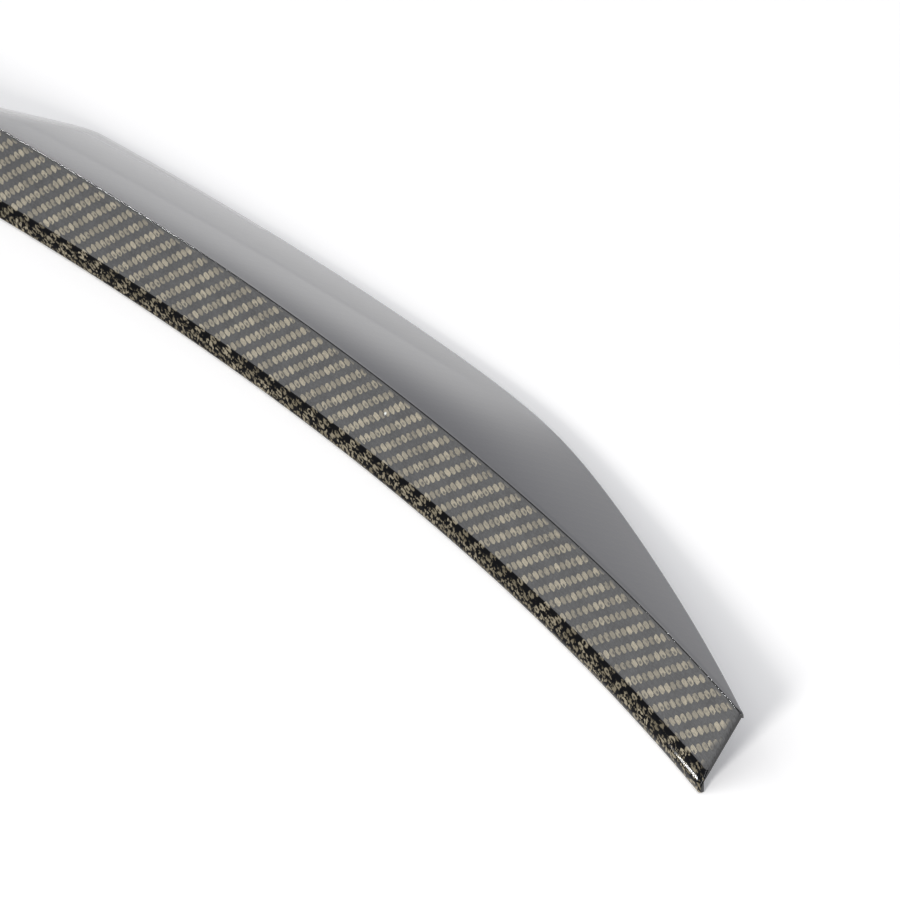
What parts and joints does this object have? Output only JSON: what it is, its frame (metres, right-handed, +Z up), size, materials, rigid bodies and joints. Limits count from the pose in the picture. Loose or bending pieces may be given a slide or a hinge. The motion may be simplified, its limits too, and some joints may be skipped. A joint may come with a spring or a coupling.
{
  "type": "car rear spoiler",
  "caption": "Low boot-lid lip spoiler: one hollow woven carbon-fibre shell with a narrow face, a sharp swept lip, a wide tapering deck and a centre scallop.",
  "frame": {"origin": "middle of the bounding box's base, on the bonding plane that the rims lie in", "axes": "+X across the car, from end to end; +Z up, out of the boot lid; -Y from the deck over the lip to the narrow face, the way the lip's ends sweep"},
  "size_m": [1.15, 0.1616, 0.0225],
  "materials": {
    "woven_carbon": "clear-coated 2x2 twill carbon-fibre laminate"
  },
  "bodies": {
    "root": {"spoiler": "woven_carbon"}
  },
  "joints": []
}
